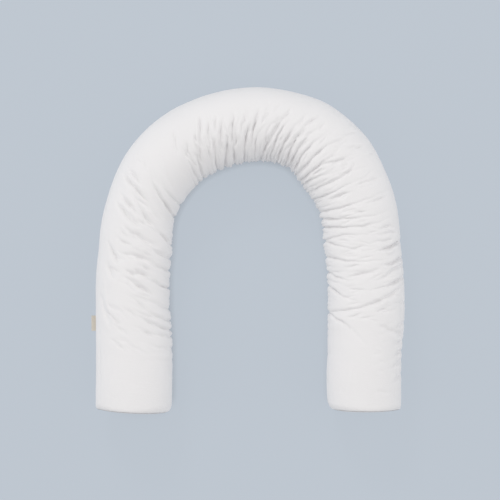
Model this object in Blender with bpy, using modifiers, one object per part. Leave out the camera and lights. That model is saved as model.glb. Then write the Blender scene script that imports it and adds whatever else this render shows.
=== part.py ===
"""A long tube pillow, bent into an arch and lying on a flat surface.

The tube is one filled solid whose cloth is taut round the outside of the bend and gathered into folds on the
inside. A round panel is sewn into each end, and a small blank label into the seam along the outer side.

Metres, +Z up, +Y from the open ends to the crown of the arch. The origin is on the surface that the pillow
lies on, under the middle of its box. Three measures place everything on the tube:
  along   the distance on the centreline from the left end's seam, over the arch, to the right end's seam
  across  the distance outward from the centreline, seen from above; negative is inside the arch
  turn    the angle round a section: 0 is the outer side, 90 the top, 180 the inner side, 270 underneath
"""

import math
from collections import namedtuple

import bmesh
import bpy
from mathutils import Vector

MM = 0.001

# The tube as it lies.
ARCH_RADIUS = 282.5 * MM
LEG_LENGTH = 406.0 * MM
ARCH_LENGTH = math.pi * ARCH_RADIUS
TUBE_LENGTH = 2 * LEG_LENGTH + ARCH_LENGTH
AXIS_HEIGHT = 76.0 * MM  # the widest part of a section, above the surface
UNDERSIDE_DROP = 85.0 * MM  # how far the underside would sag below the axis if nothing held it up

# The ends.
END_ROUND = 22.0 * MM  # the stretch over which the tube draws in to the end seam
END_INSET = 13.0 * MM
END_CROWN = 6.0 * MM
END_LEAN_REACH = 120.0 * MM
LEFT_END_LEAN = 0.045  # the left end seam slants, with its inner side further out
PANEL_THICKNESS = 1.6 * MM
SEAM_GAP = 0.3 * MM

# The label, a folded tape.
LABEL_START = 193.0 * MM
LABEL_LENGTH = 38.0 * MM
LABEL_REACH = 11.5 * MM
TAPE_THICKNESS = 1.0 * MM
TAPE_SLIT = 0.5 * MM

# The mesh of the tube.
POINTS_AROUND = 24
CAP_RINGS = (0.8, 0.55, 0.28)  # as shares of the end seam's size
FOLD_ROUNDING = 2.0 * MM  # how blunt the bottom of a fold is
FOLD_END = 0.22  # the share of a fold's run over which it dies out
WRAP_REACH = 72.0 * MM  # a fold that runs further across than this goes on round that side
INNER_WRAP_TURN = 228.0
OUTER_WRAP_TURN = -30.0

# The tube's sections, in mm: how far each lies outward of the even arch, its half width, and how far its top
# stands above the axis.
Section = namedtuple("Section", "along outward half_width top")
SECTIONS = [
    Section(0, 1, 92, 85),
    Section(60, 0, 92, 88),
    Section(200, 1, 91.5, 89),
    Section(260, 4, 89, 89),
    Section(330, 3, 88.5, 88),
    Section(400, -2, 88, 88),
    Section(500, -2, 86, 87),
    Section(590, 2, 90, 90),
    Section(680, 1, 92, 91),
    Section(770, 1, 92, 89),
    Section(860, 4, 90, 87),
    Section(940, 9, 89, 86),
    Section(990, 12.5, 91, 86),
    Section(1040, 5, 95, 87),
    Section(1090, 1, 96.5, 88),
    Section(1145, -3, 93, 89),
    Section(1210, -7, 93, 89),
    Section(1290, -10, 92, 88),
    Section(1345, -4, 90, 88),
    Section(1390, 0, 92, 88),
    Section(1490, 0, 92, 88),
    Section(1550, -3, 90, 88),
    Section(1640, -5, 89.5, 87),
    Section(1700, -3, 89, 85),
]

# Steps between the tube's rings, in mm: fine where the cloth is gathered.
Stretch = namedtuple("Stretch", "start end step")
STRETCHES = [
    Stretch(22, 112, 18),
    Stretch(112, 402, 10),
    Stretch(402, 650, 8),
    Stretch(650, 1472, 6.8),
    Stretch(1472, 1592, 12),
    Stretch(1592, 1677.5, 17),
]
END_STEPS = (0.0, 0.08, 0.28, 0.58)  # rings in the drawn-in end, as shares of END_ROUND

# The main folds, in mm: where the trough starts at its inner end, where it ends towards the outer side, how
# far its middle bows towards the right end, and its depth and half width.
Fold = namedtuple("Fold", "along_in across_in along_out across_out bow depth width")
FOLDS = [
    # left leg
    Fold(197, -76, 240, -2, -2, 5, 7),
    Fold(222, -76, 258, -10, 2, 4, 6),
    Fold(250, -74, 268, -36, 2, 4, 6),
    Fold(296, -78, 324, -42, 0, 8, 6),
    Fold(292, -34, 312, -3, 0, 3, 6),
    Fold(324, 44, 356, 56, 0, 3, 7),
    Fold(342, -76, 376, -48, 0, 6, 6),
    Fold(358, -46, 373, 2, 2, 4, 6),
    Fold(378, -48, 406, 6, 0, 5, 6),
    Fold(360, 30, 400, 52, 0, 4, 7),
    # left of the arch
    Fold(412, -80, 448, -50, 0, 5, 6),
    Fold(448, -10, 488, 46, 2, 3, 6),
    Fold(478, -10, 512, 58, 2, 3, 6),
    Fold(506, -8, 540, 52, 4, 5, 6),
    Fold(500, -80, 562, -12, 2, 10, 7),
    Fold(566, -10, 616, 56, 2, 4, 6),
    Fold(546, -82, 576, -14, 3, 6, 6),
    # crown
    Fold(654, -82, 696, 20, -6, 8, 7),
    Fold(655, -10, 680, 40, 0, 4, 6),
    Fold(666, -80, 731, 44, -2, 8, 7),
    Fold(716, -24, 744, 32, 0, 4, 6),
    Fold(742, -60, 772, 32, -3, 6, 6),
    Fold(748, -82, 790, -4, 2, 6, 6),
    Fold(770, -80, 804, 2, 3, 5, 6),
    Fold(796, -70, 815, 34, -2, 8, 6),
    Fold(812, -46, 850, 54, 3, 6, 6),
    Fold(838, -84, 858, 10, -2, 10, 6),
    Fold(856, -84, 871, 36, -3, 7, 6),
    Fold(873, -84, 901, 12, -3, 6, 6),
    # right of the arch
    Fold(896, -84, 938, 56, 0, 9, 6),
    Fold(919, -84, 932, 8, 1, 9, 6),
    Fold(940, -84, 952, 6, 0, 10, 6),
    Fold(958, -84, 986, 62, 0, 9, 6),
    Fold(978, -86, 1002, 22, -2, 9, 6),
    Fold(1000, -86, 1036, 54, -4, 9, 6),
    Fold(1022, -86, 1060, 42, 0, 6, 6),
    Fold(1042, -88, 1078, 66, -4, 8, 6),
    Fold(1066, -90, 1106, 46, -6, 9, 6),
    Fold(1092, -90, 1121, 66, -2, 7, 6),
    Fold(1118, -90, 1139, 28, 2, 8, 6),
    Fold(1145, -90, 1152, -10, -2, 9, 6),
    Fold(1168, -88, 1190, 68, -2, 6, 6),
    Fold(1192, -88, 1200, 52, 2, 7, 6),
    Fold(1220, -88, 1236, 52, 4, 7, 6),
    Fold(1248, -90, 1252, 66, 4, 7, 6),
    Fold(1275, -88, 1276, 64, 2, 7, 6),
    # right leg
    Fold(1297, -88, 1300, 76, 14, 7, 6),
    Fold(1340, -88, 1339, 4, 0, 6, 6),
    Fold(1367, -80, 1360, -18, 0, 6, 6),
    Fold(1386, -48, 1338, 80, 0, 6, 6),
    Fold(1370, -86, 1412, -18, 0, 5, 6),
    Fold(1396, 6, 1366, 78, 0, 4, 6),
    Fold(1409, 18, 1384, 82, 0, 6, 6),
    Fold(1404, -88, 1434, -18, 4, 6, 6),
    Fold(1466, -70, 1407, 78, 4, 8, 7),
    Fold(1472, -88, 1520, -24, -2, 5, 7),
    Fold(1492, 50, 1488, 84, 2, 4, 8),
    Fold(1580, 60, 1574, 84, 2, 4, 8),
]

WHITE_COTTON = ((0.86, 0.86, 0.855, 1.0), 0.9)
CREAM_TAPE = ((0.80, 0.76, 0.68, 1.0), 0.85)


def fabric(name, look):
    """A matt cloth material of the given colour and roughness."""
    colour, roughness = look
    material = bpy.data.materials.new(name)
    material.use_nodes = True
    shader = material.node_tree.nodes["Principled BSDF"]
    shader.inputs["Base Color"].default_value = colour
    shader.inputs["Roughness"].default_value = roughness
    shader.inputs["Metallic"].default_value = 0.0
    material.diffuse_color = colour
    return material


def eased(share):
    """A share from 0 to 1 with its ends eased."""
    share = min(max(share, 0.0), 1.0)
    return share * share * (3 - 2 * share)


def section_at(along):
    """How far outward the tube lies there, its half width and its top, in metres, smoothly through SECTIONS."""
    place = min(max(along / MM, SECTIONS[0].along), SECTIONS[-1].along)
    after = next(i for i, row in enumerate(SECTIONS) if i and place <= row.along)
    before = after - 1
    outer_rows = (SECTIONS[max(before - 1, 0)], SECTIONS[min(after + 1, len(SECTIONS) - 1)])
    low, high = SECTIONS[before], SECTIONS[after]
    gap = high.along - low.along
    share = (place - low.along) / gap
    found = []
    for column in range(1, len(Section._fields)):
        low_slope = (high[column] - outer_rows[0][column]) / (high.along - outer_rows[0].along)
        high_slope = (outer_rows[1][column] - low[column]) / (outer_rows[1].along - low.along)
        curve = low[column] + (high[column] - low[column]) * eased(share)
        curve += gap * low_slope * share * (1 - share) ** 2
        curve -= gap * high_slope * share * share * (1 - share)
        found.append(curve * MM)
    return found


def centreline(along):
    """The point of the even arch there, and the direction outward from it. The arch's centre is the origin."""
    if along < LEG_LENGTH:
        return Vector((-ARCH_RADIUS, along - LEG_LENGTH, 0)), Vector((-1, 0, 0))
    past_arch = along - LEG_LENGTH - ARCH_LENGTH
    if past_arch > 0:
        return Vector((ARCH_RADIUS, -past_arch, 0)), Vector((1, 0, 0))
    angle = (along - LEG_LENGTH) / ARCH_RADIUS
    outward = Vector((-math.cos(angle), math.sin(angle), 0))
    return outward * ARCH_RADIUS, outward


def end_inset(along):
    """How far the tube has drawn in towards its end seam."""
    from_end = max(min(along, TUBE_LENGTH - along), 0.0)
    if from_end >= END_ROUND:
        return 0.0
    share = 1 - from_end / END_ROUND
    return END_INSET * (1 - math.sqrt(1 - share * share))


def end_lean(along, across):
    """How far a point slides along the tube because the left end is slanted."""
    fade = max(0.0, 1 - along / END_LEAN_REACH)
    return LEFT_END_LEAN * across * fade * fade


def turn_of(across, half_width):
    """The turn, on the tube's upper side, of a point that far across."""
    return math.degrees(math.acos(min(max(across / half_width, -1.0), 1.0)))


def fold_run(fold):
    """(turn, along) at a fold's outer and inner ends, carried on round the side where it reaches that far."""
    ends = []
    for along, across in ((fold.along_out, fold.across_out), (fold.along_in, fold.across_in)):
        half_width = section_at(along * MM)[1]
        ends.append((turn_of(across * MM, half_width), along * MM))
    (outer_turn, outer_along), (inner_turn, inner_along) = ends
    if fold.across_in * MM < -WRAP_REACH:
        inner_turn = INNER_WRAP_TURN
    if fold.across_out * MM > WRAP_REACH:
        outer_turn = OUTER_WRAP_TURN
    return outer_turn, outer_along, inner_turn, inner_along


FOLD_RUNS = [(fold, *fold_run(fold)) for fold in FOLDS]


def fold_depth(along, turn, across):
    """How far the folds draw the cloth in at a point."""
    squeeze = 1.0
    if LEG_LENGTH < along < LEG_LENGTH + ARCH_LENGTH:
        squeeze = 1 + across / ARCH_RADIUS
    depth = 0.0
    for fold, outer_turn, outer_along, inner_turn, inner_along in FOLD_RUNS:
        share = (turn - outer_turn) / (inner_turn - outer_turn)
        if not 0 < share < 1:
            continue
        trough = outer_along + (inner_along - outer_along) * share
        trough += fold.bow * MM * 4 * share * (1 - share)
        strength = eased(share / FOLD_END) * eased((1 - share) / FOLD_END)
        off = math.hypot((along - trough) * squeeze, FOLD_ROUNDING)
        depth += strength * fold.depth * MM * math.exp(-off / (fold.width * MM))
    return depth


def tube_point(along, turn, size=1.0, crown=0.0):
    """A point of the tube's surface, or of its end cap where size is the share of the end seam."""
    outward_shift, half_width, top = section_at(along)
    inset = end_inset(along)
    angle = math.radians(turn)
    flat_across = half_width * math.cos(angle)
    fold = fold_depth(along, turn % 360 if turn < 300 else turn - 360, flat_across)
    rise = top if math.sin(angle) > 0 else UNDERSIDE_DROP
    across = (half_width - inset - fold) * math.cos(angle) * size
    height = AXIS_HEIGHT + (rise - inset - fold) * math.sin(angle) * size
    leant = along + end_lean(along, across)
    point, outward = centreline(along)
    forward = Vector((outward.y, -outward.x, 0))
    point = point + outward * (outward_shift + across) + forward * (leant - along + crown)
    return Vector((point.x, point.y, max(height, 0.0)))


def ring_stations():
    """Where the tube's rings are, along it."""
    stations = [share * END_ROUND for share in END_STEPS]
    for start, end, step in STRETCHES:
        count = round((end - start) / step)
        stations += [(start + (end - start) * i / count) * MM for i in range(count)]
    stations += [TUBE_LENGTH - share * END_ROUND for share in (1.0, *reversed(END_STEPS))]
    return stations


def turns():
    return [360.0 * i / POINTS_AROUND for i in range(POINTS_AROUND)]


def cap_rings(end_along, towards, lift=0.0):
    """Rings of points from an end seam to the middle of its crowned end, lifted that far off it."""
    rings = []
    for size in (1.0, *CAP_RINGS):
        crown = towards * (END_CROWN * (1 - size * size) + lift)
        rings.append([tube_point(end_along, turn, size, crown) for turn in turns()])
    middle = tube_point(end_along, 0.0, 0.0, towards * (END_CROWN + lift))
    return rings, middle


def bridge(mesh, rings):
    """Faces between each ring of vertices and the next, with the last ring open."""
    for ring, following in zip(rings, rings[1:]):
        for i in range(len(ring)):
            j = (i + 1) % len(ring)
            mesh.faces.new((ring[i], following[i], following[j], ring[j]))


def close_to_middle(mesh, ring, middle):
    """A fan of triangles from a ring of vertices to its middle."""
    for i in range(len(ring)):
        mesh.faces.new((ring[i], middle, ring[(i + 1) % len(ring)]))


def add_mesh_object(name, mesh, material, collection):
    """Turns a bmesh into an object in the collection, with its faces pointing out."""
    bmesh.ops.recalc_face_normals(mesh, faces=mesh.faces)
    data = bpy.data.meshes.new(name)
    mesh.to_mesh(data)
    mesh.free()
    data.materials.append(material)
    data.shade_smooth()
    thing = bpy.data.objects.new(name, data)
    collection.objects.link(thing)
    return thing


def make_tube(material, collection):
    """The filled tube: a loft through its folded sections, closed at both ends by a crowned cap."""
    mesh = bmesh.new()
    left_cap, left_middle = cap_rings(0.0, -1)
    right_cap, right_middle = cap_rings(TUBE_LENGTH, 1)
    body = [[tube_point(along, turn) for turn in turns()] for along in ring_stations()[1:-1]]
    rings = [
        [mesh.verts.new(point) for point in ring]
        for ring in (*reversed(left_cap), *body, *right_cap)
    ]
    bridge(mesh, rings)
    close_to_middle(mesh, rings[0], mesh.verts.new(left_middle))
    close_to_middle(mesh, rings[-1], mesh.verts.new(right_middle))
    return add_mesh_object("pillow", mesh, material, collection)


def make_end_panel(name, end_along, towards, material, collection):
    """A round cloth panel over an end, a seam's gap off the tube: an open crowned disc, made solid."""
    mesh = bmesh.new()
    points, middle = cap_rings(end_along, towards, SEAM_GAP)
    rings = [[mesh.verts.new(point) for point in ring] for ring in points]
    bridge(mesh, rings)
    close_to_middle(mesh, rings[-1], mesh.verts.new(middle))
    panel = add_mesh_object(name, mesh, material, collection)
    if panel.data.polygons[0].normal.y > 0:
        panel.data.flip_normals()
    solidify = panel.modifiers.new("thickness", "SOLIDIFY")
    solidify.thickness = PANEL_THICKNESS
    solidify.offset = 1.0
    return panel


def make_label(material, collection):
    """A tape folded over and sewn into the outer seam of the left leg, standing out from the tube."""
    root_start = tube_point(LABEL_START, 0.0)
    root_end = tube_point(LABEL_START + LABEL_LENGTH, 0.0)
    radius = TAPE_THICKNESS + TAPE_SLIT / 2
    slit = TAPE_SLIT / 2
    fold_at = LABEL_REACH - radius
    outline = [(0, slit), (fold_at, slit), (fold_at + slit, 0), (fold_at, -slit), (0, -slit)]
    outline += [(0, -radius)]
    arc = [math.radians(-90 + 22.5 * i) for i in range(9)]
    outline += [(fold_at + radius * math.cos(a), radius * math.sin(a)) for a in arc]
    outline += [(0, radius)]
    shape = bpy.data.curves.new("side_label", "CURVE")
    shape.dimensions = "2D"
    shape.fill_mode = "BOTH"
    shape.extrude = LABEL_LENGTH / 2
    spline = shape.splines.new("POLY")
    spline.points.add(len(outline) - 1)
    for point, (out, up) in zip(spline.points, outline):
        point.co = (out, up, 0, 1)
    spline.use_cyclic_u = True
    shape.materials.append(material)
    label = bpy.data.objects.new("side_label", shape)
    run = root_end - root_start
    lean = math.atan2(run.x, run.y)
    outward = Vector((-math.cos(lean), math.sin(lean), 0))
    # The outline's first axis points outward from the tube, its second up, and the extrusion along the seam.
    label.rotation_euler = (math.radians(90), 0, math.atan2(outward.y, outward.x))
    label.location = (root_start + root_end) / 2 + outward * SEAM_GAP
    collection.objects.link(label)
    return label


def centre_on_box(things):
    """Moves the objects so that the bottom middle of their common box is the origin."""
    bpy.context.view_layer.update()
    graph = bpy.context.evaluated_depsgraph_get()
    points = []
    for thing in things:
        shown = thing.evaluated_get(graph)
        points += [shown.matrix_world @ vertex.co for vertex in shown.to_mesh().vertices]
    low = Vector([min(point[axis] for point in points) for axis in range(3)])
    high = Vector([max(point[axis] for point in points) for axis in range(3)])
    for thing in things:
        thing.location -= Vector(((low.x + high.x) / 2, (low.y + high.y) / 2, low.z))


def main():
    for thing in list(bpy.data.objects):
        bpy.data.objects.remove(thing)
    collection = bpy.data.collections.new("body_pillow")
    bpy.context.scene.collection.children.link(collection)
    cotton = fabric("white_cotton", WHITE_COTTON)
    tape = fabric("cream_tape", CREAM_TAPE)
    things = [
        make_tube(cotton, collection),
        make_end_panel("end_panel_left", 0.0, -1, cotton, collection),
        make_end_panel("end_panel_right", TUBE_LENGTH, 1, cotton, collection),
        make_label(tape, collection),
    ]
    centre_on_box(things)


main()
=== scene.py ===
import math
from collections import namedtuple

import bmesh
import bpy
import numpy as np
from mathutils import Matrix, Vector


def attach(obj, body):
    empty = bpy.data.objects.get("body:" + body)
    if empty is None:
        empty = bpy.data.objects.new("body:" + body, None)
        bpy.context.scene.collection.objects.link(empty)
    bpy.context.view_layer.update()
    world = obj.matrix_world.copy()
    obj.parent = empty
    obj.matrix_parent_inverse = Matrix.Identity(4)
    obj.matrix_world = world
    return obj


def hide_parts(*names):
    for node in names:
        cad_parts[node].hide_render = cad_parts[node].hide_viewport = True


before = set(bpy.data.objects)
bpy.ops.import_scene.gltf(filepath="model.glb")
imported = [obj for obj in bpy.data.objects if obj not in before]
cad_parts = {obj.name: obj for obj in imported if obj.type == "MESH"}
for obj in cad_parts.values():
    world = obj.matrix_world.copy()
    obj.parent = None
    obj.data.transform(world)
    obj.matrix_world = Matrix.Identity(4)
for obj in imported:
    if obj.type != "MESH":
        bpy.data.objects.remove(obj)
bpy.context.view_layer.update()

MM = 0.001

# ---------------------------------------------------------------------------------------------------------
# The tube, as the solids have it. along: distance on the centreline from the left end's seam, over the
# arch, to the right end's seam. across: outward from the centreline, seen from above. turn: the angle round
# a section, 0 on the outer side, 90 on top, 180 on the inner side. girth: the distance round a section from
# its top, positive to the outer side. Tables and lengths are in mm, and turns in degrees.
# ---------------------------------------------------------------------------------------------------------
ARCH_RADIUS = 282.5
ARCH_CENTRE = (5.9, 19.0)
LEG = 406.0
RIGHT_LEG_SHORTER = 3.0
ARCH = math.pi * ARCH_RADIUS
LENGTH = 2 * LEG + ARCH - RIGHT_LEG_SHORTER
AXIS_HEIGHT = 76.0
UNDERSIDE = 85.0  # from the axis down, before the floor flattens it
GIRTH_RADIUS = 90.0
SIDE_RADIUS = 91.0
SIDE_REACH = 84.0

Section = namedtuple("Section", "along outward half_width top")
SECTIONS = [
    Section(0, 0.2, 92.2, 85),
    Section(60, -0.9, 92.6, 88),
    Section(200, 0, 91.5, 89),
    Section(260, 2.6, 89.2, 89),
    Section(330, 1.8, 89.2, 88),
    Section(400, -4.6, 88.8, 88),
    Section(500, -4.4, 85.8, 87),
    Section(590, -0.8, 90.2, 90),
    Section(680, 1.5, 91.5, 91),
    Section(770, 1.8, 91.2, 89),
    Section(860, 7.1, 90.6, 87),
    Section(940, 11.9, 89.4, 86),
    Section(990, 14.2, 91.7, 86),
    Section(1040, 7, 96.5, 87),
    Section(1090, 2.6, 98.3, 88),
    Section(1145, -2, 94.3, 89),
    Section(1210, -6.5, 93.5, 89),
    Section(1290, -9.4, 92.9, 88),
    Section(1345, -3.2, 92.8, 88),
    Section(1390, -0.2, 92.8, 88),
    Section(1490, -0.2, 92.6, 88),
    Section(1550, -3, 90, 88),
    Section(1640, -5.1, 90.4, 87),
    Section(1700, -3, 88, 85),
]

# ---------------------------------------------------------------------------------------------------------
# The ends: the cover draws in to its end seams, which lean, and a round panel is sewn into each.
# ---------------------------------------------------------------------------------------------------------
END_ROUND = 22.0
END_ROUND_LEAST = 0.3  # of END_ROUND, where the cover hardly draws in
END_INSET = 13.0
TOP_TURN = 85
TOP_SPAN = 45
TOP_EASING = 0.65
SEAM_SPAN = 17
SEAM_EASING = 0.75
END_LEAN = 0.052
END_LEAN_REACH = 120.0
END_TILT = 4.4
END_SEAM_DEPTH = 0.4
END_SEAM_WIDTH = 2.0
PUCKER_REACH = 7.0
COVER_PUCKERS = [(23, 0.5, 0.4), (37, 0.35, 1.9), (61, 0.2, 3.1)]  # folds in a turn, depth, phase
PANEL_PUCKERS = [(23, 0.45, 0.4), (37, 0.3, 1.9), (61, 0.2, 3.1)]
# the panel's rings as (from, to, count), in shares of its radius
PANEL_RINGS = [(0.02, 0.8, 14), (0.84, 0.96, 6), (0.97, 1.0, 6)]
PANEL_TURN_STEP = 2.0
PANEL_OFF = 0.35
PANEL_CROWN = 4.0
PANEL_DOME = 0.3  # the share of the crown that is a dome: the rest is a flat top with rounded edges
PANEL_DOME_POWER = 2
PANEL_FLAT_POWER = 10
PANEL_WAVE = 1.1
PANEL_WAVES = 3
PANEL_WAVE_PHASE = 0.6
PANEL_RIM = 0.08
PANEL_RIM_POWER = 26
PANEL_RIM_DEPTH = 0.5
PANEL_RIM_EASING = 0.6
PANEL_SEAM_SHARE = 0.4
PANEL_CLOTH_RADIUS = 75.0

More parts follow.
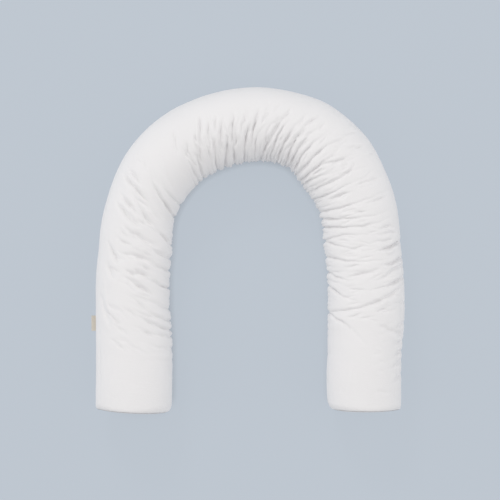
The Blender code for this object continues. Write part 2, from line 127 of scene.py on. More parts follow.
# Each fold is a trough along a line of (along, across) points; an across past SIDE_REACH counts on down the
# side, and a negative depth is a ridge.
Fold = namedtuple("Fold", "depth width line")
FOLDS = [
    # left leg, inner side
    Fold(4.0, 6, [(124, -76), (126, -50), (128, -24)]),
    Fold(5.0, 5, [(144, -80), (146, -52), (147, -26)]),
    Fold(6.0, 5, [(152, -84), (160, -58), (170, -36), (178, -10)]),
    Fold(8.0, 5, [(182, -84), (190, -54), (196, -28), (198, 0)]),
    Fold(13.0, 5, [(199, -86), (211, -62), (222, -40), (233, -20), (247, 4), (260, 26)]),
    Fold(10.0, 4, [(221, -86), (236, -58), (248, -38), (262, -8), (272, 12)]),
    Fold(10.3, 6, [(250, -86), (266, -56), (275, -34), (282, -6)]),
    Fold(5.7, 7, [(286, -56), (300, -30), (314, -8), (330, 18)]),
    Fold(17.1, 3.5, [(300, -88), (309, -68), (319, -54), (326, -42), (335, -22)]),
    Fold(4.6, 7, [(324, -56), (331, -30), (334, -8), (340, 12)]),
    Fold(-2.5, 4, [(294, -82), (302, -62), (311, -48), (318, -36)]),
    Fold(13.7, 4.5, [(342, -84), (349, -68), (356, -52), (364, -34), (372, -14)]),
    Fold(5.7, 7, [(357, -58), (369, -30), (376, -6), (381, 24)]),
    Fold(12.5, 7, [(372, -86), (386, -58), (398, -38), (411, -10), (426, 26)]),
    Fold(5.7, 8, [(394, -66), (410, -36), (426, -8), (438, 20)]),
    Fold(16.0, 4, [(408, -88), (425, -75), (442, -62), (456, -50), (472, -36)]),
    Fold(5.7, 7, [(452, -50), (474, -26), (494, -8), (512, 14)]),
    # left leg, outer side
    Fold(5.5, 5, [(356, 26), (372, 40), (392, 52), (412, 62)]),
    Fold(4.0, 6, [(318, 36), (340, 50), (368, 62)]),
    Fold(4.0, 9, [(205, 47), (238, 60), (292, 74)]),
    Fold(-2.4, 9, [(212, 38), (262, 55), (336, 66)]),
    Fold(4.6, 4, [(6, 76), (80, 77), (150, 78), (250, 78)]),
    # left of the arch
    Fold(4.8, 5, [(444, -22), (460, 8), (477, 34), (494, 60)]),
    Fold(4.8, 5, [(474, -16), (492, 20), (514, 60)]),
    Fold(3.3, 7, [(494, -40), (507, -8), (518, 34)]),
    Fold(5.2, 4.5, [(508, -32), (524, 0), (535, 28), (550, 70)]),
    Fold(3.7, 5, [(544, 6), (556, 38), (564, 68)]),
    Fold(3.7, 9, [(480, -84), (498, -54), (516, -22)]),
    Fold(11.1, 4, [(506, -88), (515, -77), (534, -53), (561, -15), (585, 13), (609, 41)]),
    Fold(8.1, 4, [(550, -86), (560, -54), (571, -28), (584, 4)]),
    Fold(1.9, 6, [(584, 34), (598, 64)]),
    # crown
    Fold(6.6, 5, [(657, -84), (665, -54), (673, -28), (684, -2), (700, 34)]),
    Fold(3.1, 5, [(656, -16), (670, 12), (684, 44)]),
    Fold(8.2, 4, [(678, -84), (692, -52), (702, -32), (714, -6), (726, 22), (738, 52)]),
    Fold(4.2, 5, [(710, -40), (723, -12), (736, 16), (747, 48)]),
    Fold(3.5, 4, [(736, -36), (747, -8), (758, 24)]),
    Fold(7.5, 4, [(735, -80), (746, -48), (753, -20), (760, 10), (770, 52)]),
    Fold(5.8, 4, [(742, -84), (757, -50), (768, -22), (776, 2)]),
    Fold(4.2, 5, [(754, -68), (770, -34), (781, -4), (792, 26)]),
    Fold(11.1, 5, [(765, -84), (785, -48), (797, -22), (805, 2), (818, 48)]),
    Fold(9.8, 4, [(798, -84), (803, -52), (809, -28), (819, -5), (831, 18), (841, 42)]),
    Fold(-1.9, 4, [(814, -44), (824, -18)]),
    Fold(11.3, 4, [(832, -78), (836, -48), (842, -24), (852, 6)]),
    Fold(4.8, 4, [(853, -64), (857, -34), (860, -12), (864, 8), (872, 34)]),
    Fold(7.7, 4, [(842, -88), (844, -56), (848, -34)]),
    Fold(7.1, 4, [(866, -70), (868, -40), (874, -25), (886, -12), (900, 4), (911, 26)]),
    Fold(7.0, 4, [(856, -88), (858, -66), (861, -46)]),
    Fold(8.1, 4, [(876, -86), (881, -62), (888, -40), (896, -22)]),
    # crown, where a fold is deepest away from the inner side
    Fold(3.4, 4, [(693, -66), (703, -48), (712, -28)]),
    Fold(3.2, 4, [(742, -66), (750, -46), (758, -20)]),
    Fold(2.8, 4, [(762, -16), (769, 6), (777, 30)]),
    Fold(4.2, 4, [(797, -48), (806, -20), (811, 3), (818, 33)]),
    Fold(2.8, 4, [(808, -60), (814, -40), (820, -20)]),
    Fold(4.1, 4, [(837, -64), (839, -48), (842, -27), (849, -10), (855, 4)]),
    Fold(2.6, 4, [(876, -10), (884, 8), (893, 30)]),
    # right of the arch
    Fold(4.0, 4, [(899, -64), (907, -40), (915, -16), (923, 10), (934, 36)]),
    Fold(3.0, 4, [(918, -60), (921, -37), (928, -11), (933, 6)]),
    Fold(10.4, 5, [(889, -84), (897, -56), (903, -38), (910, -14), (920, 14), (934, 44), (946, 66)]),
    Fold(8.3, 4, [(903, -84), (909, -60), (913, -40), (918, -20)]),
    Fold(9.4, 4, [(916, -84), (920, -46), (926, -20), (936, 8), (948, 34)]),
    Fold(8.3, 4, [(928, -86), (931, -64), (935, -42), (941, -22)]),
    Fold(10.4, 4, [(940, -86), (941, -62), (945, -32), (953, -2), (964, 28), (976, 56)]),
    Fold(7.3, 4, [(953, -84), (953, -58), (955, -36)]),
    Fold(9.4, 4, [(969, -82), (966, -50), (968, -27), (971, -4), (977, 22), (988, 56)]),
    Fold(9.4, 4, [(984, -84), (984, -42), (988, -18), (997, 10), (1008, 36), (1018, 60)]),
    Fold(5.7, 4, [(994, -88), (994, -60), (998, -36)]),
    Fold(8.5, 4, [(1005, -90), (1002, -50), (1008, -20), (1016, 8), (1026, 36), (1036, 62)]),
    Fold(8.5, 5, [(1021, -86), (1027, -62), (1030, -38), (1035, -12), (1044, 16), (1058, 42), (1078, 72)]),
    Fold(7.5, 4, [(1045, -86), (1051, -60), (1058, -36), (1073, -12), (1086, 8), (1100, 34), (1113, 64)]),
    Fold(-1.4, 4, [(1108, 52), (1117, 78)]),
    Fold(9.0, 4, [(1060, -92), (1066, -74), (1077, -53), (1090, -34), (1100, -14), (1106, 8)]),
    Fold(7.0, 4, [(1080, -92), (1086, -74), (1096, -54), (1104, -36)]),
    Fold(6.5, 5, [(1095, -88), (1105, -62), (1113, -42), (1117, -12), (1122, 20), (1134, 60)]),
    Fold(7.4, 4, [(1126, -88), (1136, -62), (1140, -35), (1142, -6), (1148, 26), (1156, 48)]),
    Fold(5.4, 4, [(1164, -80), (1170, -56), (1173, -34)]),
    Fold(3.6, 4, [(1149, -66), (1156, -36), (1161, -8)]),
    Fold(2.7, 5, [(1152, 6), (1158, 38), (1163, 68)]),
    Fold(8.0, 4, [(1177, -88), (1186, -58), (1190, -34), (1191, -8), (1193, 22), (1190, 52), (1190, 78)]),
    Fold(2.7, 5, [(1199, 6), (1202, 42), (1199, 72)]),
    Fold(9.2, 4, [(1204, -88), (1215, -66), (1223, -40), (1228, -12), (1231, 16), (1231, 42), (1222, 72)]),
    Fold(9.2, 4, [(1234, -88), (1241, -66), (1248, -36), (1251, -6), (1249, 28), (1244, 54), (1239, 74)]),
    Fold(5.4, 4, [(1224, -92), (1230, -76)]),
    Fold(5.4, 4, [(1250, -92), (1254, -76)]),
    Fold(8.0, 4, [(1280, -90), (1274, -72), (1269, -50), (1270, -27), (1273, 2), (1277, 34)]),
    Fold(2.7, 4, [(1263, 30), (1259, 56), (1263, 78)]),
    Fold(2.7, 4, [(1274, 34), (1271, 60), (1275, 80)]),
    Fold(2.7, 4, [(1291, 16), (1288, 46), (1284, 70)]),
    # right leg
    Fold(9.8, 4, [(1288, -92), (1300, -62), (1308, -24), (1316, 12)]),
    Fold(7.5, 4, [(1318, 2), (1310, 34), (1303, 56), (1290, 86)]),
    Fold(-1.6, 4, [(1317, 34), (1314, 56), (1304, 72)]),
    Fold(4.5, 5, [(1316, -92), (1322, -78), (1330, -58)]),
    Fold(9.0, 4, [(1328, -80), (1335, -52), (1337, -26), (1336, 6), (1333, 36), (1331, 60)]),
    Fold(4.8, 4, [(1350, -92), (1352, -62)]),
    Fold(5.6, 5, [(1363, -80), (1360, -50), (1356, -14)]),
    Fold(3.4, 6, [(1375, -56), (1364, -6), (1352, 34)]),
    Fold(7.0, 5, [(1352, 22), (1343, 54), (1329, 84)]),
    Fold(11.2, 4, [(1365, -92), (1374, -74), (1382, -42), (1380, -12)]),
    Fold(4.8, 7, [(1388, -8), (1376, 34), (1360, 56), (1347, 84)]),
    Fold(4.2, 5, [(1384, -84), (1396, -54), (1413, -16)]),
    Fold(5.9, 5, [(1407, -10), (1397, 36), (1388, 60), (1374, 90)]),
    Fold(12.6, 4, [(1399, -92), (1412, -72), (1424, -52), (1434, -10)]),
    Fold(2.0, 6, [(1432, -92), (1430, -64)]),
    Fold(3.7, 5, [(1456, -74), (1446, -22), (1438, 2), (1427, 28), (1412, 57), (1389, 88)]),
    Fold(2.0, 7, [(1463, -92), (1456, -60), (1449, -30)]),
    Fold(-1.3, 5, [(1446, 8), (1436, 32), (1428, 52)]),
    Fold(10.0, 4, [(1465, -94), (1475, -73), (1486, -54), (1500, -38), (1518, -20), (1540, 0)]),
    Fold(2.5, 4, [(1437, 50), (1434, 88)]),
    Fold(3.6, 5, [(1499, 50), (1485, 88)]),
    Fold(3.6, 7, [(1475, -10), (1494, 38), (1505, 66), (1509, 90)]),
    Fold(4.6, 5, [(1540, 52), (1528, 88)]),
    Fold(5.5, 5, [(1562, 60), (1553, 90)]),
    Fold(4.2, 5, [(1594, 48), (1576, 90)]),
    Fold(4.6, 6, [(1634, 54), (1610, 88)]),
    Fold(1.1, 6, [(1668, 64), (1650, 66), (1632, 68)]),
    Fold(1.8, 7, [(1561, -90), (1558, -46)]),
    Fold(3.6, 4, [(1300, 79), (1430, 79), (1560, 77), (1694, 74)]),
]
WRAP_FROM = 68.0  # a fold whose inner end is further in than this goes on round the inner side
WRAP_TO = 200.0
OUTER_WRAP_FROM = 80.0  # and one whose outer end is further out than this goes on down the outer side
OUTER_WRAP_TO = 150.0
FOLD_SAMPLES = 36
FOLD_ROUNDING = 0.25  # of the fold's width
DEPTH_SCALE = 1.65
WIDTH_SCALE = 0.66
WIDTH_LEAST = 0.6  # of its width, where the fold fades out
SPREAD = 1.35  # how many times wider the gentle wall is, and narrower the steep one
WALL_CHANGE = 1.0  # mm from the line within which one wall turns into the other
WANDER = 0.7  # mm that a fold strays from its smooth line, in one slow wave and one quick one
SLOW_WANDER_RUN = 7.0
QUICK_WANDER_RUN = 3.7
QUICK_WANDER_SHARE = 0.6
RISE_WRAPPED, RISE_OPEN = 0.25, 0.5  # the share of its run over which a wrapping fold grows from its start
FALL_WRAPPED, FALL_OPEN = 0.3, 0.9  # and over which it fades to its end
FALL_POWER = 1.4
OPEN_POWER = 1.1
UNEVEN_SHARE = 0.18  # a fold's depth goes up and down by this share
UNEVEN_RUN = 9.0
FOLD_REACH = 8  # times the fold's width
FOLD_REACH_MORE = 6
SQUEEZED_REACH = 1.6  # the along distance counts for less where the arch squeezes it
FAR = 1e9
TINY = 1e-9

INNER_EASING = 0.45  # folds flatten towards the outline, where the cloth is drawn tight round the filling
OUTER_EASING = 0.65
INNER_SIDE_FROM = 140
OUTER_SIDE_TO = 34
SIDE_SPAN = 30
LIFT_WIDTH = 14.0  # over this distance the cloth between the folds stands proud
LIFT_SHARE = 0.75
BLUR_STEP = 2.0
BLUR_REACH = 3  # times the width of the blur

# The long seam down the outer side: a low ridge between two shallow lines.
RIDGE_HEIGHT = 0.9
RIDGE_WIDTH = 1.2
LINE_DEPTH = 0.7
LINE_OFF = 3.0
LINE_WIDTH = 1.6

# The cover's rings along the tube and its points round a ring, as (from, to, step): closer where the cloth
# is gathered, and on the sides that show.
RING_STEPS = [
    (0, END_ROUND, 1.5),
    (END_ROUND, 150, 4.2),
    (150, 400, 2.1),
    (400, 640, 2.0),
    (640, 1480, 1.85),
    (1480, 1600, 3.2),
    (1600, LENGTH - END_ROUND, 4.2),
    (LENGTH - END_ROUND, LENGTH, 1.5),
]
TURN_STEPS = [(-16, -3, 3.2), (-3, 3, 1.0), (3, 200, 2.2), (200, 344, 8.0)]

# Fine wrinkles on stretches of the tube. lean: how far a wrinkle's outer end leads its inner end along the
# tube, for each mm across.
Wrinkles = namedtuple("Wrinkles", "start end inner outer lean count depth width length")
FINE_WRINKLES = [
    Wrinkles(150, 470, -80, 50, 0.60, 72, 1.8, 3.0, 45),
    Wrinkles(440, 620, -80, 60, 0.75, 40, 0.8, 3.0, 50),
    Wrinkles(668, 900, -84, 16, 0.24, 74, 1.7, 2.7, 36),
    Wrinkles(880, 1120, -86, 66, 0.32, 84, 1.4, 2.8, 42),
    Wrinkles(1100, 1300, -88, 72, 0.08, 64, 1.2, 2.8, 45),
    Wrinkles(1290, 1480, -88, 84, -0.22, 56, 1.3, 3.0, 45),
    Wrinkles(1480, 1660, 20, 88, -0.1, 18, 0.8, 3.4, 30),
]
WRINKLE_INNERMOST = -84
WRINKLE_OUTERMOST = 76
WRINKLE_SPREAD = (1.0, 1.6)  # more of them towards the inner side
WRINKLE_LENGTHS = (0.5, 1.3)
WRINKLE_DEPTHS = (0.4, 1.4)
WRINKLE_LEAN_CHANGE = 0.14
WRINKLE_BOW = 0.05

# Small close folds on the inner side of the bend, between the long ones.
Gathers = namedtuple("Gathers", "start end pitch depth width reach lean")
INNER_GATHERS = [
    Gathers(120, 470, 17, 0.9, 3.0, 26, 0.35),
    Gathers(640, 880, 11, 2.0, 2.4, 40, 0.30),
    Gathers(880, 1110, 8.5, 2.2, 2.2, 36, 0.20),
    Gathers(885, 1000, 10, 3.0, 2.2, 62, 0.28),
    Gathers(1110, 1330, 9.5, 2.0, 2.2, 32, 0.10),
    Gathers(1330, 1520, 13, 1.4, 2.4, 24, 0.0),
]
GATHER_START = -88
GATHER_START_CHANGE = 8
GATHER_REACHES = (0.4, 1.4)
GATHER_PITCHES = (0.6, 1.4)
GATHER_DEPTHS = (0.5, 1.4)
GATHER_LEAN_CHANGE = 0.12
GATHER_BOW = 1.0
WIDTHS = (0.8, 1.3)

SWELL_WAVES = 40
SWELL_HEIGHT = 0.28  # the root mean square of it
SWELL_LENGTHS = (45, 150)
SEED = 11

# ---------------------------------------------------------------------------------------------------------
# The label: a tape folded over its outer edge, with both ends in the long seam.
# ---------------------------------------------------------------------------------------------------------
LABEL_START, LABEL_END = 193.5, 230.5
LABEL_REACH = 11.2
LABEL_ROUND = 0.95
LABEL_ROOT = 0.4
LABEL_SIDE = [(0, 1), (0.3, 1.1), (0.6, 1.15)]  # share of its reach, and how much it stands open
LABEL_LAST_OPEN = 1.05
LABEL_LAST_OFF = 1.5
LABEL_TURN_FROM = 0.15
LABEL_TURN_POINTS = 9
LABEL_RUN_POINTS = 24
LABEL_SAG = -0.5
LABEL_SAG_CHANGE = 0.5
LABEL_SAG_WAVE = 5  # radians of the sag's wave over the label's run
LABEL_SAG_PHASE = 1

# ---------------------------------------------------------------------------------------------------------
# Materials. Distances are in m, and a scale is so many to the metre.
# ---------------------------------------------------------------------------------------------------------
Cloth = namedtuple("Cloth", "name colour shade_share thread crumple sheen")
COTTON = Cloth("white_cotton_cloth", (0.875, 0.861, 0.865), 0.012, 0.00055, 0.0003, 0.06)
TAPE = Cloth("cream_tape_weave", (0.66, 0.61, 0.53), 0.03, 0.0008, 0.0002, 0.1)
PATCH_SCALE = 11.0
PATCH_DETAIL = 3.0
SLUB_SCALE = (260.0, 2600.0, 1.0)
SLUB_DETAIL = 2.0
SHADE_RANGE = (0.6, 1.4)
# painted shade: an occlusion test darkens the cloth's colour in its folds and creases, where shade falls
PAINTED_SHADE_REACH = 0.014
PAINTED_SHADE_SAMPLES = 8
PAINTED_SHADE_RANGE = (0.45, 0.95)
PAINTED_FOLD_SHADE = 0.93  # painted shade: the share of the cloth's colour left at the bottom of its folds
PATCH_RANGE = (0.3, 0.7)
CLOTH_ROUGHNESS = (0.82, 0.94)
CLOTH_GLOSS = 0.2
SHEEN_ROUGHNESS = 0.5
WEAVE_UNEVEN = 0.4
WEAVE_STRENGTH = 0.5
WEAVE_DEPTH = 0.00006
WAVES_IN_SCALE = 20  # Blender's wave texture has scale x 20 / 2 pi waves to the metre
CRUMPLE_SCALE = (150.0, 45.0, 1.0)
CRUMPLE_DETAIL = 4.0
CRUMPLE_ROUGHNESS = 0.6
CRUMPLE_TWIST = 0.5

FLOOR_HALF = 40.0
FLOOR_COLOUR = (0.50, 0.55, 0.61)
FLOOR_GLOW = 0.9
FLOOR_DIFFUSE = 0.15
FLOOR_ROUGHNESS = 0.95
# The floor's contact shadow is painted: an occlusion test darkens its emission colour near the pillow.
CONTACT_REACH = 0.038
CONTACT_SAMPLES = 16
CONTACT_RANGE = (0.55, 0.95)
CONTACT_SHADE = 0.72
CONTACT_HIDDEN = 0.7  # how much of the painted contact shadow is left out beyond the arch's left and top, by place on the floor
SHADOW_EDGES = [("X", 0.17, 0.08), ("X", -0.36, -0.30), ("Y", -0.392, -0.365), ("Y", 0.36, 0.30)]

# ---------------------------------------------------------------------------------------------------------
# Light and camera, in m.
# ---------------------------------------------------------------------------------------------------------
WORLD_LEVEL = 0.37
WORLD_LEAN = (0.0, -0.03, 0.46)
WORLD_SIDES = (0.93, -0.34, 0.0)
KEY_ENERGY = 73
KEY_SIZE = 1.6
KEY_PLACE = (-1.47, 4.8, 3.73)
KEY_TARGET = (0, 0.05, 0)
CAMERA_LENS = 85
CAMERA_SENSOR = 36
CAMERA_X, CAMERA_Y = 0.00636, 0.00317
VIEW_LEVEL = 0.076  # the height of the tube's axis
VIEW_WIDTH = 1.2175  # how much the photograph takes in at that height


def cubic(start, end, start_slope, end_slope, part):
    """The smooth curve between two values with the given slopes, at that part of the way."""
    return (
        start * (2 * part**3 - 3 * part**2 + 1) + end * (3 * part**2 - 2 * part**3)
        + start_slope * (part**3 - 2 * part**2 + part) + end_slope * (part**3 - part**2)
    )


def eased(share):
    """A share from 0 to 1 that leaves and arrives smoothly."""
    share = np.clip(share, 0, 1)
    return share * share * (3 - 2 * share)


def section_columns(along):
    """outward, half width and top at each place along the tube, smoothly through SECTIONS."""
    rows = np.array(SECTIONS, float)
    slopes = np.gradient(rows[:, 1:], rows[:, 0], axis=0)
    place = np.clip(along, rows[0, 0], rows[-1, 0])
    low = np.clip(np.searchsorted(rows[:, 0], place, side="right") - 1, 0, len(rows) - 2)
    gap = rows[low + 1, 0] - rows[low, 0]
    part = (place - rows[low, 0]) / gap
    return [
        cubic(rows[low, column + 1], rows[low + 1, column + 1],
              slopes[low, column] * gap, slopes[low + 1, column] * gap, part)
        for column in range(3)
    ]


def girth_of(across):
    """The distance round the section from its top, positive to the outer side, of a point that far across."""
    reach = min(abs(across), SIDE_REACH)
    girth = GIRTH_RADIUS * math.asin(reach / SIDE_RADIUS) + max(abs(across) - SIDE_REACH, 0.0)
    return math.copysign(girth, across)


def girth_at(turn):
    """The distance round the section from its top at that turn."""
    return GIRTH_RADIUS * np.radians(90 - turn)


def through(points, count):
    """A smooth line of count points through the given ones, with the share of its run at each."""
    points = np.array(points, float)
    steps = np.hypot(*np.diff(points, axis=0).T)
    at = np.concatenate(([0.0], np.cumsum(steps)))
    if len(points) > 2:
        slopes = np.gradient(points, at, axis=0)
    else:
        slopes = np.tile(np.diff(points, axis=0) / at[1], (2, 1))
    share = np.linspace(0, at[-1], count)
    low = np.clip(np.searchsorted(at, share, side="right") - 1, 0, len(at) - 2)
    gap = (at[low + 1] - at[low])[:, None]
    part = (share[:, None] - at[low][:, None]) / gap
    line = cubic(points[low], points[low + 1], slopes[low] * gap, slopes[low + 1] * gap, part)
    return line, share / at[-1]


def fold_line(fold):
    """The fold's line in (along, girth), and how strong the fold is at each of its points."""
    points = [(along, girth_of(across)) for along, across in fold.line]
    inner, outer = fold.line[0], fold.line[-1]
    wraps = inner[1] < -WRAP_FROM
    if wraps:
        points.insert(0, (inner[0], girth_of(-WRAP_TO)))
    wraps_out = outer[1] > OUTER_WRAP_FROM
    if wraps_out:
        points.append((outer[0], girth_of(OUTER_WRAP_TO)))
    line, share = through(points, FOLD_SAMPLES)
    run = np.cumsum(np.hypot(*np.diff(line, axis=0, prepend=line[:1]).T))
    # each wave's phase comes from the fold's place, so that no two folds stray alike
    slow = WANDER * np.sin(run / SLOW_WANDER_RUN + inner[0])
    quick = QUICK_WANDER_SHARE * WANDER * np.sin(run / QUICK_WANDER_RUN + 2 * inner[0])
    line[:, 0] += slow + quick
    if wraps or wraps_out:
        rise = RISE_WRAPPED if wraps else RISE_OPEN
        fall = FALL_WRAPPED if wraps_out else FALL_OPEN
        strength = eased(share / rise) * np.clip((1 - share) / fall, 0, 1) ** FALL_POWER
    else:
        strength = np.sin(math.pi * share) ** OPEN_POWER
    strength *= 1 + UNEVEN_SHARE * np.sin(run / UNEVEN_RUN + 3 * inner[0])
    return line, strength


def add_fold(depth, along, girth, squeeze, fold):
    """Adds one fold's depth to the grid of depths: one wall of the trough is steeper than the other."""
    line, strength = fold_line(fold)
    reach = FOLD_REACH * fold.width + FOLD_REACH_MORE
    lowest, highest = line.min(axis=0), line.max(axis=0)
    long_reach = reach * SQUEEZED_REACH
    rows = np.nonzero((along > lowest[0] - long_reach) & (along < highest[0] + long_reach))[0]
    columns = np.nonzero((girth > lowest[1] - reach) & (girth < highest[1] + reach))[0]
    if not len(rows) or not len(columns):
        return
    block = np.ix_(rows, columns)
    scale = squeeze[block]
    nearest = np.full(scale.shape, FAR)
    power = np.zeros_like(nearest)
    ahead = np.zeros_like(nearest)
    for step in range(len(line) - 1):
        (start_along, start_girth), (end_along, end_girth) = line[step], line[step + 1]
        off_along = (along[rows][:, None] - start_along) * scale
        off_girth = np.broadcast_to(girth[columns][None, :] - start_girth, nearest.shape)
        run_along, run_girth = (end_along - start_along) * scale, end_girth - start_girth
        run_squared = run_along * run_along + run_girth * run_girth + TINY
        part = np.clip((off_along * run_along + off_girth * run_girth) / run_squared, 0, 1)
        beside = off_along - part * run_along
        off = np.hypot(beside, off_girth - part * run_girth)
        closer = off < nearest
        nearest = np.where(closer, off, nearest)
        ahead = np.where(closer, beside, ahead)
        power = np.where(closer, strength[step] + (strength[step + 1] - strength[step]) * part, power)
    wall = SPREAD ** (ahead / np.hypot(nearest, WALL_CHANGE)) if fold.depth > 0 else 1.0
    width = fold.width * WIDTH_SCALE * (WIDTH_LEAST + (1 - WIDTH_LEAST) * power) * wall
    rounding = FOLD_ROUNDING * fold.width
    trough = np.exp(-(np.hypot(nearest, rounding) - rounding) / width)
    depth[block] += power * fold.depth * DEPTH_SCALE * trough


def blurred(values, places, width):
    """The grid smoothed down each of its columns, over that width."""
    even = np.arange(places[0], places[-1], BLUR_STEP)
    kernel_at = np.arange(-BLUR_REACH * width, BLUR_REACH * width + BLUR_STEP / 2, BLUR_STEP)
    kernel = np.exp(-0.5 * (kernel_at / width) ** 2)
    kernel /= kernel.sum()
    smoothed = np.empty_like(values)
    for column in range(values.shape[1]):
        line = np.interp(even, places, values[:, column])
        smooth = np.convolve(np.pad(line, len(kernel) // 2, mode="edge"), kernel, mode="valid")
        smoothed[:, column] = np.interp(places, even, smooth[: len(even)])
    return smoothed


def spaced(steps):
    """The places of a table of (from, to, step), without the last one."""
    parts = []
    for start, end, step in steps:
        parts.append(np.linspace(start, end, round((end - start) / step), endpoint=False))
    return np.concatenate(parts)


def end_share(turn):
    """How much of the end's rounding there is at each turn: little on top, least at the long seam."""
    from_seam = np.abs((turn + 180) % 360 - 180)
    on_top = np.exp(-(((turn - TOP_TURN) / TOP_SPAN) ** 2))
    at_seam = np.exp(-((from_seam / SEAM_SPAN) ** 2))
    return 1 - TOP_EASING * on_top - SEAM_EASING * at_seam


def place_on_tube(along, turn, proud, size=1.0, crown=0.0):
    """Points of the tube's surface in mm, about the arch's centre, for grids of along, turn and proud."""
    outward, half_width, top = section_columns(along)
    drawn_in = end_share(turn)
    end_round = END_ROUND * (END_ROUND_LEAST + (1 - END_ROUND_LEAST) * drawn_in)
    from_end = np.clip(np.minimum(along, LENGTH - along) / end_round, 0, 1)
    inset = END_INSET * drawn_in * (1 - np.sqrt(1 - (1 - from_end) ** 2))
    angle = np.radians(turn)
    rise = np.where(np.sin(angle) > 0, top, UNDERSIDE)
    across = (half_width - inset + proud) * np.cos(angle) * size
    height = AXIS_HEIGHT + (rise - inset + proud) * np.sin(angle) * size
    fade = np.clip(1 - along / END_LEAN_REACH, 0, 1)
    forward = END_LEAN * across * fade * fade + crown
    # the ends lean back a little towards their tops
    tilt = END_TILT * np.clip(np.sin(angle), 0, 1) * size
    far_fade = np.clip(1 - (LENGTH - along) / END_LEAN_REACH, 0, 1)
    forward = forward + tilt * (fade * fade - far_fade * far_fade)
    bend = np.clip((along - LEG) / ARCH_RADIUS, 0, math.pi)
    out_x, out_y = -np.cos(bend), np.sin(bend)
    past = np.where(along < LEG, along - LEG, np.where(along > LEG + ARCH, along - LEG - ARCH, 0.0))
    reach = ARCH_RADIUS + outward + across
    x = out_x * reach + out_y * (past + forward)
    y = out_y * reach - out_x * (past + forward)
    return np.stack([x, y, np.maximum(height, 0.0)], -1)


def fine_wrinkles():
    """Short shallow creases and gathers between the listed folds."""
    rng = np.random.default_rng(SEED)
    made = []
    for zone in FINE_WRINKLES:
        for _ in range(zone.count):
            along = rng.uniform(zone.start, zone.end)
            across = zone.inner + (zone.outer - zone.inner) * rng.beta(*WRINKLE_SPREAD)
            length = zone.length * rng.uniform(*WRINKLE_LENGTHS)
            lean = zone.lean + rng.normal(0, WRINKLE_LEAN_CHANGE)
            bow = rng.normal(0, WRINKLE_BOW) * length
            half = length / 2
            depth = zone.depth * rng.uniform(*WRINKLE_DEPTHS)
            made.append(Fold(depth, zone.width * rng.uniform(*WIDTHS), [
                (along - lean * half, max(across - half, WRINKLE_INNERMOST)),
                (along + bow, across),
                (along + lean * half, min(across + half, WRINKLE_OUTERMOST)),
            ]))
    for zone in INNER_GATHERS:
        place = zone.start
        while place < zone.end:
            reach = zone.reach * rng.uniform(*GATHER_REACHES)
            lean = zone.lean + rng.normal(0, GATHER_LEAN_CHANGE)
            start = GATHER_START + rng.uniform(0, GATHER_START_CHANGE)
            edge = max(start, WRINKLE_INNERMOST)
            made.append(Fold(zone.depth * rng.uniform(*GATHER_DEPTHS), zone.width * rng.uniform(*WIDTHS), [
                (place, start),
                (place + lean * reach / 2 + rng.normal(0, GATHER_BOW), edge + reach / 2),
                (place + lean * reach, edge + reach),
            ]))
            place += zone.pitch * rng.uniform(*GATHER_PITCHES)
    return made


def swell(along, girth):
    """Low uneven swelling of the filling, as a sum of even waves."""
    rng = np.random.default_rng(SEED + 1)
    total = np.zeros((len(along), len(girth)))
    for _ in range(SWELL_WAVES):
        length, angle = rng.uniform(*SWELL_LENGTHS), rng.uniform(0, math.pi)
        phase = rng.uniform(0, 2 * math.pi)
        wave = 2 * math.pi / length
        wave_along, wave_girth = wave * math.cos(angle), wave * math.sin(angle)
        total += np.sin(wave_along * along[:, None] + wave_girth * girth[None, :] + phase)
    return total * SWELL_HEIGHT / math.sqrt(SWELL_WAVES / 2)


def make_depths(along, turn):
    """How deep the cloth lies under the plain tube, for each ring and turn."""
    girth = girth_at(turn)
    half_width = section_columns(along)[1]
    across = half_width[:, None] * np.cos(np.radians(turn))[None, :]
    in_arch = ((along > LEG) & (along < LEG + ARCH))[:, None]
    squeeze = np.where(in_arch, 1 + across / ARCH_RADIUS, 1.0)
    depth = np.zeros((len(along), len(turn)))
    for fold in FOLDS:
        add_fold(depth, along, girth, squeeze, fold)
    inner_side = eased((turn - INNER_SIDE_FROM) / SIDE_SPAN)
    outer_side = eased((OUTER_SIDE_TO - turn) / SIDE_SPAN)
    depth *= (1 - INNER_EASING * inner_side - OUTER_EASING * outer_side)[None, :]
    for fold in fine_wrinkles():
        add_fold(depth, along, girth, squeeze, fold)
    depth += swell(along, girth)
    # the end seams, gathered where the round panels are sewn in
    from_end = np.minimum(along, LENGTH - along)[:, None]
    for count, size, phase in COVER_PUCKERS:
        depth += size * np.sin(np.radians(turn)[None, :] * count + phase) * np.exp(-from_end / PUCKER_REACH)
    depth += END_SEAM_DEPTH * np.exp(-from_end / END_SEAM_WIDTH)
    # the long seam
    off = np.abs(girth - girth_at(0.0))[None, :]
    lines = LINE_DEPTH * np.exp(-((off - LINE_OFF) / LINE_WIDTH) ** 2)
    depth += lines - RIDGE_HEIGHT * np.exp(-(off / RIDGE_WIDTH) ** 2)
    return depth


def grid_mesh(name, points, material, uv, closed_ring):
    """A mesh from a grid of points in m, rows by columns, with its cloth co-ordinates in the uv layer."""
    rows, columns = points.shape[:2]
    index = np.arange(rows * columns).reshape(rows, columns)
    ahead = np.roll(index, -1, 1) if closed_ring else index[:, 1:]
    here = index if closed_ring else index[:, :-1]
    quads = np.stack([here[:-1], here[1:], ahead[1:], ahead[:-1]], -1).reshape(-1, 4)
    mesh = bpy.data.meshes.new(name)
    mesh.from_pydata(points.reshape(-1, 3).tolist(), [], quads.tolist())
    layer = mesh.uv_layers.new(name="cloth")
    flat = uv.reshape(-1, 2)[quads.ravel()].reshape(-1, 4, 2)
    if closed_ring:
        # the quads that close a ring meet its first points a whole turn further round
        closing = (quads % columns == 0) & ((quads[:, :1] % columns) == columns - 1)
        flat[..., 1] = np.where(closing, flat[..., 1] - 2 * math.pi * GIRTH_RADIUS * MM, flat[..., 1])
    layer.data.foreach_set("uv", flat.ravel())
    mesh.materials.append(material)
    mesh.shade_smooth()
    return mesh


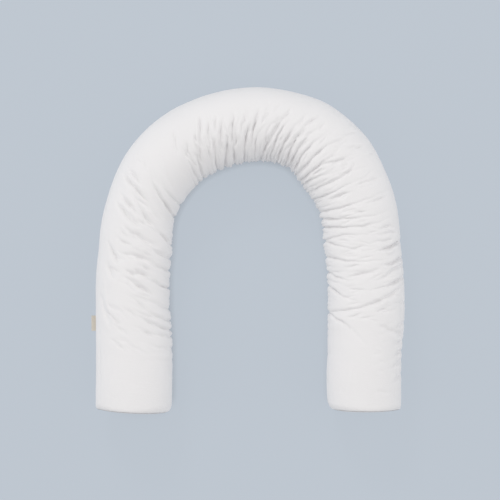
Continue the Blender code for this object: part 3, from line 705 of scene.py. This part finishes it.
def make_pillow(material):
    """The filled cover with its folds, closed at both ends."""
    along, turn = np.concatenate([spaced(RING_STEPS), [LENGTH]]), spaced(TURN_STEPS)
    depth = make_depths(along, turn)
    proud = LIFT_SHARE * blurred(depth, along, LIFT_WIDTH) - depth
    points = place_on_tube(along[:, None], turn[None, :], proud) * MM
    uv = np.stack(np.broadcast_arrays(along[:, None], girth_at(turn)[None, :]), -1) * MM
    mesh = grid_mesh("pillow_cover", points, material, uv, closed_ring=True)
    work = bmesh.new()
    work.from_mesh(mesh)
    rims = [edge for edge in work.edges if edge.is_boundary]
    bmesh.ops.holes_fill(work, edges=rims, sides=0)
    work.to_mesh(mesh)
    work.free()
    return bpy.data.objects.new("pillow_cover", mesh)


def make_end_panel(name, material, at_start):
    """The round panel sewn over one end of the cover, swollen by the filling."""
    share = np.concatenate([np.linspace(start, end, count) for start, end, count in PANEL_RINGS])[:, None]
    turn = np.arange(0, 360, PANEL_TURN_STEP)
    angle = np.radians(turn)[None, :]
    flat_top, dome = 1 - share**PANEL_FLAT_POWER, 1 - share**PANEL_DOME_POWER
    bulge = PANEL_CROWN * ((1 - PANEL_DOME) * flat_top + PANEL_DOME * dome)
    bulge = bulge + PANEL_WAVE * np.sin(PANEL_WAVES * angle + PANEL_WAVE_PHASE) * share * (1 - share) * 2
    rim = np.exp(-(1 - share) / PANEL_RIM) * (1 - share**PANEL_RIM_POWER)
    puckers = sum(size * np.sin(count * angle + phase) for count, size, phase in PANEL_PUCKERS)
    bulge -= rim * (PANEL_RIM_DEPTH + puckers * (1 - rim * PANEL_RIM_EASING))
    along = 0.0 if at_start else LENGTH
    sign = -1.0 if at_start else 1.0
    crown = sign * (PANEL_OFF + np.maximum(bulge, 0.0))
    proud = -END_SEAM_DEPTH * PANEL_SEAM_SHARE
    points = place_on_tube(np.full_like(crown, along), turn[None, :], proud, share, crown) * MM
    radius = PANEL_CLOTH_RADIUS * MM
    uv = np.stack(np.broadcast_arrays(share * np.cos(angle) * radius, share * np.sin(angle) * radius), -1)
    if at_start:
        points, uv = points[:, ::-1], uv[:, ::-1]
    mesh = grid_mesh(name, points, material, uv, closed_ring=True)
    work = bmesh.new()
    work.from_mesh(mesh)
    first_ring = len(turn)
    rims = [edge for edge in work.edges if edge.is_boundary]
    inner = [edge for edge in rims if max(point.index for point in edge.verts) < first_ring]
    bmesh.ops.holes_fill(work, edges=inner, sides=0)
    bmesh.ops.recalc_face_normals(work, faces=work.faces)
    work.to_mesh(mesh)
    work.free()
    mesh.shade_smooth()
    return bpy.data.objects.new(name, mesh)


def make_label(material):
    """A tape folded over its outer edge, with both ends caught in the long seam, and the tape's run in mm."""
    side = [(LABEL_REACH * share, LABEL_ROUND * opened) for share, opened in LABEL_SIDE]
    side.append((LABEL_REACH - LABEL_ROUND * LABEL_LAST_OFF, LABEL_ROUND * LABEL_LAST_OPEN))
    edge = [(LABEL_REACH - LABEL_ROUND + LABEL_ROUND * math.sin(angle), LABEL_ROUND * math.cos(angle))
            for angle in np.linspace(LABEL_TURN_FROM, math.pi - LABEL_TURN_FROM, LABEL_TURN_POINTS)]
    profile = np.array(side + edge + [(out, -up) for out, up in reversed(side)])
    along = np.linspace(LABEL_START, LABEL_END, LABEL_RUN_POINTS)[:, None]
    share = (along - LABEL_START) / (LABEL_END - LABEL_START)
    out, up = profile[:, 0][None, :], profile[:, 1][None, :]
    droop = 1 + LABEL_SAG_CHANGE * np.sin(LABEL_SAG_WAVE * share + LABEL_SAG_PHASE)
    sag = LABEL_SAG * (out / LABEL_REACH) ** 2 * droop
    outward, half_width = section_columns(along)[:2]
    reach = ARCH_RADIUS + outward + half_width + LABEL_ROOT + out
    x, y, z = np.broadcast_arrays(-reach, along - LEG, AXIS_HEIGHT + up + sag)
    run = np.concatenate(([0.0], np.cumsum(np.hypot(*np.diff(profile, axis=0).T))))
    uv = np.stack(np.broadcast_arrays(along, run[None, :]), -1) * MM
    mesh = grid_mesh("side_label_tape", np.stack([x, y, z], -1) * MM, material, uv, closed_ring=False)
    return bpy.data.objects.new("side_label_tape", mesh), run[-1]


class Nodes:
    """Short hands for wiring a node tree."""

    def __init__(self, tree):
        self.tree = tree

    def add(self, kind, links=None, **settings):
        """A new node. links: what goes into its inputs, sockets or values. settings: its own properties."""
        node = self.tree.nodes.new(kind)
        for key, value in settings.items():
            setattr(node, key, value)
        for key, value in (links or {}).items():
            socket = node.inputs[key]
            if isinstance(value, bpy.types.NodeSocket):
                self.tree.links.new(value, socket)
            else:
                socket.default_value = value
        return node

    def ranged(self, value, before, after):
        """The value brought from one range to another."""
        limits = {"From Min": before[0], "From Max": before[1], "To Min": after[0], "To Max": after[1]}
        return self.add("ShaderNodeMapRange", {"Value": value, **limits}).outputs[0]


def new_material(name):
    """An empty material, with its short hands and its shader."""
    material = bpy.data.materials.new(name)
    material.use_nodes = True
    tree = material.node_tree
    return material, Nodes(tree), tree.nodes["Principled BSDF"]


def cloth_material(cloth):
    """Plain woven cloth: threads, faint crumples, small changes of shade and roughness, and painted shade in
    its folds.
    """
    material, nodes, shader = new_material(cloth.name)
    links = material.node_tree.links
    place = nodes.add("ShaderNodeUVMap", uv_map="cloth").outputs["UV"]
    space = nodes.add("ShaderNodeTexCoord").outputs["Object"]

    # shade: broad soft patches and slubs along the threads, then painted shade: the cloth's colour made
    # darker deep in the folds, where shade falls
    noise = {"Vector": space, "Scale": PATCH_SCALE, "Detail": PATCH_DETAIL}
    patches = nodes.add("ShaderNodeTexNoise", noise).outputs["Fac"]
    stretch = nodes.add("ShaderNodeMapping", {"Vector": place, "Scale": SLUB_SCALE}).outputs["Vector"]
    noise = {"Vector": stretch, "Scale": 1.0, "Detail": SLUB_DETAIL}
    slubs = nodes.add("ShaderNodeTexNoise", noise).outputs["Fac"]
    mixed = nodes.add("ShaderNodeMath", {0: patches, 1: slubs}, operation="ADD").outputs[0]
    shade = nodes.ranged(mixed, SHADE_RANGE, (1 - cloth.shade_share, 1 + cloth.shade_share))
    # painted shade: an occlusion test darkens the colour deep in the folds
    painted_shade_probe = nodes.add("ShaderNodeAmbientOcclusion", {"Distance": PAINTED_SHADE_REACH}, samples=PAINTED_SHADE_SAMPLES)
    depth = nodes.ranged(painted_shade_probe.outputs["AO"], PAINTED_SHADE_RANGE, (PAINTED_FOLD_SHADE, 1.0))
    shade = nodes.add("ShaderNodeMath", {0: shade, 1: depth}, operation="MULTIPLY").outputs[0]
    tint = nodes.add("ShaderNodeVectorMath", {0: cloth.colour, "Scale": shade}, operation="SCALE").outputs[0]
    links.new(tint, shader.inputs["Base Color"])
    links.new(nodes.ranged(patches, PATCH_RANGE, CLOTH_ROUGHNESS), shader.inputs["Roughness"])

    # relief: the weave's two sets of threads, then the crumples
    scale = 2 * math.pi / (WAVES_IN_SCALE * cloth.thread)
    wave = {"Vector": place, "Scale": scale, "Distortion": WEAVE_UNEVEN}
    warp = nodes.add("ShaderNodeTexWave", wave, bands_direction="X").outputs["Fac"]
    weft = nodes.add("ShaderNodeTexWave", wave, bands_direction="Y").outputs["Fac"]
    weave = nodes.add("ShaderNodeMath", {0: warp, 1: weft}, operation="MULTIPLY").outputs[0]
    bump = {"Height": weave, "Strength": WEAVE_STRENGTH, "Distance": WEAVE_DEPTH}
    threads = nodes.add("ShaderNodeBump", bump).outputs["Normal"]
    across = nodes.add("ShaderNodeMapping", {"Vector": place, "Scale": CRUMPLE_SCALE}).outputs["Vector"]
    noise = {"Vector": across, "Scale": 1.0, "Detail": CRUMPLE_DETAIL, "Roughness": CRUMPLE_ROUGHNESS,
             "Distortion": CRUMPLE_TWIST}
    lines = nodes.add("ShaderNodeTexNoise", noise).outputs["Fac"]
    bump = {"Height": lines, "Strength": 1.0, "Distance": cloth.crumple, "Normal": threads}
    links.new(nodes.add("ShaderNodeBump", bump).outputs["Normal"], shader.inputs["Normal"])
    shader.inputs["Sheen Weight"].default_value = cloth.sheen
    shader.inputs["Sheen Roughness"].default_value = SHEEN_ROUGHNESS
    shader.inputs["Specular IOR Level"].default_value = CLOTH_GLOSS
    return material


def floor_paper():
    """Pale blue-grey studio paper, evenly lit and glowing, with a narrow contact shadow painted into its
    emission.
    """
    material, nodes, shader = new_material("floor_paper")
    contact = nodes.add("ShaderNodeAmbientOcclusion", {"Distance": CONTACT_REACH}, samples=CONTACT_SAMPLES)
    painted_shadow = nodes.ranged(contact.outputs["AO"], CONTACT_RANGE, (CONTACT_SHADE, 1.0))
    # painted shadow: the contact shadow is kept inside the arch, on its left and top, and mostly left out
    # elsewhere by where it lies on the floor, to go with the lamp at the upper left
    place = nodes.add("ShaderNodeTexCoord").outputs["Object"]
    place = nodes.add("ShaderNodeSeparateXYZ", {0: place})
    for axis, clear, full in SHADOW_EDGES:
        share = nodes.ranged(place.outputs[axis], (clear, full), (CONTACT_HIDDEN, 0.0))
        painted_shadow = nodes.add("ShaderNodeMix", {"Factor": share, "A": painted_shadow, "B": 1.0}).outputs["Result"]
    # the emission colour carries the painted contact shadow
    glow = nodes.add("ShaderNodeVectorMath", {0: FLOOR_COLOUR, "Scale": painted_shadow}, operation="SCALE").outputs[0]
    material.node_tree.links.new(glow, shader.inputs["Emission Color"])
    shader.inputs["Emission Strength"].default_value = FLOOR_GLOW
    shader.inputs["Base Color"].default_value = (*[level * FLOOR_DIFFUSE for level in FLOOR_COLOUR], 1)
    shader.inputs["Roughness"].default_value = FLOOR_ROUGHNESS
    shader.inputs["Specular IOR Level"].default_value = 0.0
    return material


def studio_world():
    """A white surround, brightest at its left and right, and brighter overhead than below."""
    world = bpy.data.worlds.new("studio")
    world.use_nodes = True
    tree = world.node_tree
    nodes = Nodes(tree)
    direction = nodes.add("ShaderNodeTexCoord").outputs["Generated"]
    lean = nodes.add("ShaderNodeVectorMath", {0: direction, 1: WORLD_LEAN}, operation="DOT_PRODUCT")
    squares = nodes.add("ShaderNodeVectorMath", {0: direction, 1: direction}, operation="MULTIPLY")
    squares = squares.outputs["Vector"]
    sides = nodes.add("ShaderNodeVectorMath", {0: squares, 1: WORLD_SIDES}, operation="DOT_PRODUCT")
    both = {0: lean.outputs["Value"], 1: sides.outputs["Value"]}
    both = nodes.add("ShaderNodeMath", both, operation="ADD").outputs[0]
    level = nodes.add("ShaderNodeMath", {0: both, 1: WORLD_LEVEL}, operation="ADD").outputs[0]
    tree.links.new(level, tree.nodes["Background"].inputs["Strength"])
    tree.nodes["Background"].inputs["Color"].default_value = (1, 1, 1, 1)
    return world


def put(thing):
    """Links an object into the scene, and gives it back."""
    bpy.context.scene.collection.objects.link(thing)
    return thing


def make_body_pillow():
    """The pieces of the pillow, each standing for its CAD node."""
    cotton = cloth_material(COTTON)
    tape = cloth_material(TAPE)
    pillow = put(make_pillow(cotton))
    left = put(make_end_panel("end_cover_left", cotton, True))
    right = put(make_end_panel("end_cover_right", cotton, False))
    label, tape_run = make_label(tape)
    put(label)

    shift = Vector((*ARCH_CENTRE, 0.0)) * MM
    dressed = [
        (pillow, "pillow", "white_cotton"),
        (left, "end_panel_left", "white_cotton"),
        (right, "end_panel_right", "white_cotton"),
        (label, "side_label", "cream_tape"),
    ]
    for piece, node, slot in dressed:
        piece.data.transform(Matrix.Translation(shift))
        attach(piece, "root")
        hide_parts(node)


def make_studio():
    """The floor, the camera straight overhead, the surround and the lamp."""
    half = FLOOR_HALF
    floor_mesh = bpy.data.meshes.new("floor")
    floor_mesh.from_pydata([(-half, -half, 0), (half, -half, 0), (half, half, 0), (-half, half, 0)], [],
                           [(0, 1, 2, 3)])
    floor_mesh.materials.append(floor_paper())
    floor = put(bpy.data.objects.new("floor", floor_mesh))

    camera_data = bpy.data.cameras.new("camera")
    camera_data.lens = CAMERA_LENS
    camera_data.sensor_width = CAMERA_SENSOR
    camera = put(bpy.data.objects.new("camera", camera_data))
    camera.location = (CAMERA_X, CAMERA_Y, VIEW_LEVEL + VIEW_WIDTH * CAMERA_LENS / CAMERA_SENSOR)
    bpy.context.scene.camera = camera

    bpy.context.scene.world = studio_world()
    key = bpy.data.lights.new("key", "AREA")
    key.shape = "DISK"
    key.size = KEY_SIZE
    key.energy = KEY_ENERGY
    lamp = put(bpy.data.objects.new("key", key))
    lamp.location = KEY_PLACE
    lamp.rotation_euler = (Vector(KEY_TARGET) - lamp.location).to_track_quat("-Z", "Y").to_euler()
    bpy.context.scene.view_settings.view_transform = "Standard"


make_body_pillow()
make_studio()
